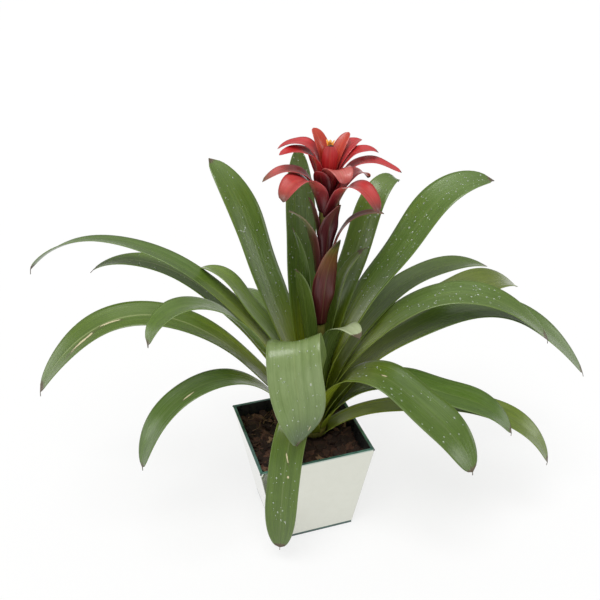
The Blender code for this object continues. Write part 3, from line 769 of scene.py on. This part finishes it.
# ---------------------------------------------------------------- operators
class BROMELIAD_OT_pot(bpy.types.Operator):
    """Four mirrored glass panels with polished edges, their corner beads and the base plate's finish"""

    bl_idname = "bromeliad.pot"
    bl_label = "Pot"

    def execute(self, context):
        look = context.scene.bromeliad_pot
        skins = [mirror_material(look), edge_material("polished_edge", look.edge), backing_material(look)]
        for name, turn in (("front", 0), ("right", 90), ("back", 180), ("left", 270)):
            self.panel(look, name, turn, skins)
        self.beads(look)
        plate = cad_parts["base_plate"]
        plate.data.materials.clear()
        plate.data.materials.append(edge_material("base_plate_glass", (0.022, 0.070, 0.058)))
        return {"FINISHED"}

    @staticmethod
    def half_side(look, z):
        return (look.foot + (look.rim - look.foot) * z / look.height) / 2

    def panel(self, look, name, turn, skins):
        bm = bmesh.new()
        bmesh.ops.create_cube(bm, size=2.0)
        for vert in bm.verts:
            side, face, level = vert.co
            z = look.height if level > 0 else look.plate + SEAT
            out = self.half_side(look, z) - (look.glass if face > 0 else 0.0)
            vert.co = (side * (out - SEAT / 2), -out, z)
        bm.normal_update()
        for face in bm.faces:
            face.material_index = 0 if face.normal.y < -0.9 else 2 if face.normal.y > 0.9 else 1
        bmesh.ops.bevel(bm, geom=list(bm.edges), offset=look.arris, offset_type="OFFSET", segments=2,
                        profile=0.5, affect="EDGES", material=-1)
        bmesh.ops.rotate(bm, verts=bm.verts, matrix=Matrix.Rotation(math.radians(turn), 3, "Z"))
        finished(bm, f"panel_{name}_glass", skins, smooth=False,
                 replaced=(f"panel_{name}",))

    def beads(self, look):
        """Small drops of dark sealant at the outer corners of the rim."""
        bm = bmesh.new()
        reach = look.rim / 2 - 0.0008
        for x, y in ((-1, -1), (1, -1), (1, 1), (-1, 1)):
            place = Matrix.Translation((x * reach, y * reach, look.height - 0.0010))
            size = Matrix.Diagonal((1.0, 1.0, 1.35, 1.0))
            bmesh.ops.create_icosphere(bm, subdivisions=2, radius=0.00115, matrix=place @ size)
        mat, tree, shader = new_material("sealant", 0.4)
        at = own_place(tree)
        patch = grain(tree, at, 900.0, 3.0)
        feed(tree, shader, Base_Color=paint(tree, patch, (0.03, 0.04, 0.04), (0.10, 0.12, 0.11)))
        finished(bm, "corner_beads", [mat])


class BROMELIAD_OT_bark(bpy.types.Operator):
    """Bed of loose bark chips with a few dry roots on it"""

    bl_idname = "bromeliad.bark"
    bl_label = "Bark"

    def execute(self, context):
        look, pot = context.scene.bromeliad_bark, context.scene.bromeliad_pot
        half = BROMELIAD_OT_pot.half_side(pot, BARK_TOP) - pot.glass * 1.02 - 0.0006
        rng = random.Random(7)
        bm = bmesh.new()
        chip = bm.verts.layers.float.new("chip")
        self.bed(bm, pot, half, chip)
        pitch = 2 * half / look.rows
        for layer in range(2):
            for i in range(look.rows):
                for j in range(look.rows):
                    x = -half + (i + 0.5 + rng.uniform(-0.45, 0.45)) * pitch
                    y = -half + (j + 0.5 + rng.uniform(-0.45, 0.45)) * pitch
                    self.chip(bm, look, rng, x, y, half, layer, chip)
        for _ in range(14):
            self.root(bm, rng, half, chip)
        finished(bm, "bark_filling", [bark_material(look)], smooth=False, replaced=("bark_chips",))
        return {"FINISHED"}

    @staticmethod
    def bed(bm, pot, half, chip):
        """Packed filling under the loose chips."""
        made = bmesh.ops.create_grid(bm, x_segments=24, y_segments=24, size=half)["verts"]
        for vert in made:
            vert.co.z = BARK_TOP - 0.0035 + 0.0022 * noise.noise(vert.co * 180)
        walls = bmesh.ops.extrude_face_region(bm, geom=list(bm.faces))["geom"]
        low = pot.plate + SEAT
        shrink = (BROMELIAD_OT_pot.half_side(pot, low) - pot.glass - 2.5 * SEAT) / half
        for vert in (item for item in walls if isinstance(item, bmesh.types.BMVert)):
            vert.co = (vert.co.x * shrink, vert.co.y * shrink, low)
        for vert in bm.verts:
            vert[chip] = 0.05

    @staticmethod
    def chip(bm, look, rng, x, y, half, layer, tone):
        """One angular chip, kept clear of the glass and of the foot of the plant."""
        long = look.chip * rng.uniform(0.55, 1.35)
        size = Vector((long, long * rng.uniform(0.35, 0.7), long * rng.uniform(0.14, 0.30))) / 2
        reach = half - size.x * 0.8
        x, y = max(-reach, min(reach, x)), max(-reach, min(reach, y))
        if math.hypot(x - PLANT_AT[0], y - PLANT_AT[1]) < CAUDEX_FOOT_R + size.x + 0.001:
            return
        z = BARK_TOP - 0.0022 + layer * 0.0022 + rng.uniform(-0.0008, 0.0010)
        z = min(z, BARK_TOP + 0.0026 - size.z)
        tilt = Euler((rng.uniform(-0.38, 0.38), rng.uniform(-0.38, 0.38), rng.uniform(0, 6.28)))
        made = bmesh.ops.create_cube(bm, size=2.0)["verts"]
        edges = list(dict.fromkeys(edge for vert in made for edge in vert.link_edges))
        bmesh.ops.subdivide_edges(bm, edges=edges, cuts=1, use_grid_fill=True)
        verts = [vert for vert in bm.verts if vert[tone] == 0.0]
        seed = Vector((rng.uniform(0, 9), rng.uniform(0, 9), rng.uniform(0, 9)))
        shade = 0.02 + 0.96 * rng.random() ** 1.5
        for vert in verts:
            round_off = 1.0 - 0.16 * (vert.co.length / 1.732) ** 3
            ragged = noise.noise_vector(vert.co * 0.9 + seed) * 0.42
            local = Vector((a * b * round_off for a, b in zip(vert.co + ragged, size)))
            local.rotate(tilt)
            vert.co = local + Vector((x, y, z))
            vert[tone] = shade

    @staticmethod
    def root(bm, rng, half, tone):
        """A dry root, lying on the chips towards the back left corner."""
        x, y = rng.uniform(-0.95, -0.1) * half, rng.uniform(0.25, 0.92) * half
        run = rng.uniform(0.014, 0.034)
        turn = rng.uniform(-0.6, 0.9)
        made = bmesh.ops.create_cone(bm, cap_ends=True, segments=5, radius1=rng.uniform(0.0003, 0.0006),
                                     radius2=0.00018, depth=run)["verts"]
        edges = dict.fromkeys(edge for vert in made for edge in vert.link_edges)
        edges = [edge for edge in edges if abs(edge.verts[0].co.z - edge.verts[1].co.z) > run / 2]
        bmesh.ops.subdivide_edges(bm, edges=edges, cuts=7)
        verts = [vert for vert in bm.verts if vert[tone] == 0.0]
        bow = rng.uniform(-0.25, 0.25)
        for vert in verts:
            along, aside = vert.co.z, vert.co.x + bow * run * ((vert.co.z / run) ** 2 * 4 - 1)
            up = vert.co.y + 0.0018 * math.sin(90 * along + turn * 9)
            wx = x + along * math.cos(turn) - aside * math.sin(turn)
            wy = y + along * math.sin(turn) + aside * math.cos(turn)
            vert.co = (max(-half, min(half, wx)), max(-half, min(half, wy)), BARK_TOP + 0.0024 + up)
            vert[tone] = 0.98


class BROMELIAD_OT_leaves(bpy.types.Operator):
    """The leaves, each with its own tint, lines, scars and dry tip"""

    bl_idname = "bromeliad.leaves"
    bl_label = "Leaves"

    def execute(self, context):
        plant = context.scene.bromeliad_plant
        mat = strap_material("leaf", plant.dry, plant.scar, 0.26, 0.22, (0.56, 0.64, 0.40),
                             (0.40, 0.50, 0.20))
        for strap in all_straps(plant)[0]:
            strap.piece(*LEAF_GRID, mat, "leaf")
        return {"FINISHED"}


class BROMELIAD_OT_bracts(bpy.types.Operator):
    """The maroon bracts on the stalk and the red ones in the head"""

    bl_idname = "bromeliad.bracts"
    bl_label = "Bracts"

    def execute(self, context):
        plant = context.scene.bromeliad_plant
        red = strap_material("bract", (0.060, 0.025, 0.016), plant.scar, 0.30, 0.35, (0.66, 0.50, 0.54),
                             (0.75, 0.20, 0.20))
        for strap in all_straps(plant)[1]:
            slot_name = "bract_maroon" if "stalk" in strap.name else "bract_red"
            strap.piece(*BRACT_GRID, red, slot_name)
        return {"FINISHED"}


class BROMELIAD_OT_stem(bpy.types.Operator):
    """The turned stem, thick where it carries the leaves"""

    bl_idname = "bromeliad.stem"
    bl_label = "Stem"

    def execute(self, context):
        heights = [STEM_TALL * i / 40 for i in range(41)]
        profile = [(0.0, 0.0)] + [(stem_radius(h) * (1 + 0.02 * math.sin(h * 400)), h) for h in heights]
        profile += [(0.0028, STEM_TALL + 0.002), (0.0, STEM_TALL + 0.003)]
        bm = turned(profile, 28)
        bmesh.ops.transform(bm, matrix=PLANT, verts=bm.verts)
        skin = stalk_material(context.scene.bromeliad_plant)
        finished(bm, "stem_stalk", [skin], replaced=("stem",))
        return {"FINISHED"}


class BROMELIAD_OT_flower(bpy.types.Operator):
    """The small yellow flower at the middle of the head"""

    bl_idname = "bromeliad.flower"
    bl_label = "Flower"

    def execute(self, context):
        bm = turned(((0.0, -0.011), (0.0018, -0.0108), (0.0030, -0.004), (0.0026, 0.004),
                     (0.0012, 0.0095), (0.0, 0.0105)), 14)
        for turn in (20, 140, 260):
            self.petal(bm, math.radians(turn))
        top = Matrix.Translation((0, 0, STEM_TALL + 0.003 + SEAT + 0.011))
        bmesh.ops.transform(bm, matrix=PLANT @ top, verts=bm.verts)
        finished(bm, "flower_open", [petal_material(context.scene.bromeliad_plant)],
                 replaced=("flower_bud",))
        return {"FINISHED"}

    @staticmethod
    def petal(bm, turn):
        """A petal that stands up from the bud and rolls outwards at its tip."""
        made = bmesh.ops.create_uvsphere(bm, u_segments=10, v_segments=8, radius=1.0)["verts"]
        for vert in made:
            along = (vert.co.z + 1) / 2
            out = 0.0016 + 0.0035 * along**2 + 0.0004 * vert.co.y
            vert.co = (out, 0.0024 * vert.co.x * (1 - 0.3 * along), 0.001 + 0.0105 * along - 0.002 * along**4)
            vert.co.rotate(Euler((0, 0, turn)))


class BROMELIAD_OT_dew(bpy.types.Operator):
    """Drops of dew on the leaves that caught it"""

    bl_idname = "bromeliad.dew"
    bl_label = "Dew"

    def execute(self, context):
        straps = {strap.name: strap for strap in all_straps(context.scene.bromeliad_plant)[0]}
        mat = dew_material()
        for name, low, high, count in DEW:
            strap, rng = straps[name], random.Random(name + "dew")
            bm = bmesh.new()
            for _ in range(count):
                self.drop(bm, strap, rng, low, high)
            finished(bm, f"dew_{name}", [mat])
        return {"FINISHED"}

    @staticmethod
    def drop(bm, strap, rng, low, high):
        at, up = strap.at(rng.uniform(-0.85, 0.85), rng.uniform(low, high))
        size = 0.00045 + 0.00085 * rng.random() ** 3
        shape = Matrix.Diagonal((size, size * rng.uniform(1.0, 1.5), size * 0.55, 1.0))
        stand = up.to_track_quat("Z", "Y").to_matrix().to_4x4()
        place = Matrix.Translation(at + up * (strap.thick / 2 + size * 0.12))
        bmesh.ops.create_icosphere(bm, subdivisions=1, radius=1.0, matrix=place @ stand @ shape)


class BROMELIAD_OT_stage(bpy.types.Operator):
    """Pale floor, soft light and the camera"""

    bl_idname = "bromeliad.stage"
    bl_label = "Stage"

    def execute(self, context):
        look = context.scene.bromeliad_stage
        self.floor(look)
        self.room(context, look)
        self.lamp(look)
        self.camera(context)
        context.scene.view_settings.view_transform = "Standard"
        return {"FINISHED"}

    @staticmethod
    def floor(look):
        bm = bmesh.new()
        bmesh.ops.create_grid(bm, x_segments=1, y_segments=1, size=14.0)
        bmesh.ops.translate(bm, verts=bm.verts, vec=(0, 0, -0.0003))
        mesh = bpy.data.meshes.new("floor")
        bm.to_mesh(mesh)
        bm.free()
        mat, tree, shader = new_material("floor", 1.0, specular=0.0)
        shader.inputs["Base Color"].default_value = (*look.floor, 1.0)
        path = put(tree, "ShaderNodeLightPath")
        seen = any_ray(tree, path, "Camera", "Glossy", "Transmission")
        glow = put(tree, "ShaderNodeEmission", {"Color": (1.0, 1.0, 1.0, 1.0), "Strength": 1.0})
        mixed = put(tree, "ShaderNodeMixShader", {0: times(tree, seen, 0.75), 1: shader.outputs[0],
                                                  2: glow.outputs[0]})
        tree.links.new(mixed.outputs[0], tree.nodes["Material Output"].inputs["Surface"])
        mesh.materials.append(mat)
        floor = bpy.data.objects.new("floor", mesh)
        bpy.context.scene.collection.objects.link(floor)

    @staticmethod
    def room(context, look):
        """White room, softer as a light; gloss shows a tall soft box at each side and a pale ceiling."""
        world = bpy.data.worlds.new("room")
        world.use_nodes = True
        tree = world.node_tree
        path = put(tree, "ShaderNodeLightPath")
        seen = any_ray(tree, path, "Camera", "Transmission")
        strength = calc(tree, "ADD", look.sky, times(tree, seen, 1.0 - look.sky))
        way = put(tree, "ShaderNodeTexCoord").outputs["Generated"]
        level = put(tree, "ShaderNodeSeparateXYZ", {0: way}).outputs["Z"]
        aside = put(tree, "ShaderNodeVectorMath", {0: way, 1: BOX_AXIS}, operation="DOT_PRODUCT")
        boxes = ramp(tree, calc(tree, "ABSOLUTE", aside.outputs["Value"]), 0.90, 0.985, 0.40, 3.4)
        soft_box = calc(tree, "ADD", boxes, ramp(tree, level, 0.55, 0.95, 0.0, 0.9))
        values = {0: path.outputs["Is Glossy Ray"], 2: strength, 3: soft_box}
        strength = put(tree, "ShaderNodeMix", values).outputs[0]
        back = tree.nodes["Background"]
        back.inputs["Color"].default_value = (1.0, 1.0, 1.0, 1.0)
        tree.links.new(strength, back.inputs["Strength"])
        context.scene.world = world

    @staticmethod
    def lamp(look):
        data = bpy.data.lights.new("soft_lamp", "SUN")
        data.energy = look.lamp
        data.angle = math.radians(LAMP_WIDE)
        lamp = bpy.data.objects.new("soft_lamp", data)
        lamp.rotation_euler = Vector(LAMP_FROM).to_track_quat("Z", "Y").to_euler()
        bpy.context.scene.collection.objects.link(lamp)

    @staticmethod
    def camera(context):
        """Looks down at the plant from in front and a little to the left."""
        data = bpy.data.cameras.new("camera")
        data.lens, data.sensor_width = CAMERA_LENS, CAMERA_SENSOR
        data.clip_start, data.clip_end = 0.02, 60.0
        turn, drop, tilt = (math.radians(value) for value in (CAMERA_TURN, CAMERA_DROP, CAMERA_TILT))
        forward = Vector((math.sin(turn) * math.cos(drop), math.cos(turn) * math.cos(drop), -math.sin(drop)))
        right = forward.cross(Vector((0, 0, 1))).normalized()
        up = right.cross(forward)
        across = right * math.cos(tilt) + up * math.sin(tilt)
        upright = up * math.cos(tilt) - right * math.sin(tilt)
        camera = bpy.data.objects.new("camera", data)
        place = Matrix.Translation(Vector(CAMERA_AIM) - CAMERA_AWAY * forward)
        camera.matrix_world = place @ Matrix((across, upright, -forward)).transposed().to_4x4()
        context.scene.collection.objects.link(camera)
        context.scene.camera = camera


class BROMELIAD_PT_sidebar(bpy.types.Panel):
    """Lists the settings and the pieces"""

    bl_idname = "BROMELIAD_PT_sidebar"
    bl_label = "Bromeliad"
    bl_space_type = "VIEW_3D"
    bl_region_type = "UI"
    bl_category = "Bromeliad"

    def draw(self, context):
        for key in SETTINGS:
            group = getattr(context.scene, key)
            box = self.layout.box()
            for name in group.__annotations__:
                box.prop(group, name)
        for operator in OPERATORS:
            self.layout.operator(operator.bl_idname)


SETTINGS = {
    "bromeliad_pot": PotSettings,
    "bromeliad_bark": BarkSettings,
    "bromeliad_plant": PlantSettings,
    "bromeliad_stage": StageSettings,
}
OPERATORS = (
    BROMELIAD_OT_stage,
    BROMELIAD_OT_pot,
    BROMELIAD_OT_bark,
    BROMELIAD_OT_stem,
    BROMELIAD_OT_leaves,
    BROMELIAD_OT_bracts,
    BROMELIAD_OT_flower,
    BROMELIAD_OT_dew,
)


def register():
    for group in SETTINGS.values():
        bpy.utils.register_class(group)
    for key, group in SETTINGS.items():
        setattr(bpy.types.Scene, key, bpy.props.PointerProperty(type=group))
    for operator in OPERATORS:
        bpy.utils.register_class(operator)
    bpy.utils.register_class(BROMELIAD_PT_sidebar)


def unregister():
    bpy.utils.unregister_class(BROMELIAD_PT_sidebar)
    for operator in reversed(OPERATORS):
        bpy.utils.unregister_class(operator)
    for key in SETTINGS:
        delattr(bpy.types.Scene, key)
    for group in SETTINGS.values():
        bpy.utils.unregister_class(group)


def main():
    register()
    for operator in OPERATORS:
        family, name = operator.bl_idname.split(".")
        getattr(getattr(bpy.ops, family), name)()


if __name__ == "__main__":
    main()
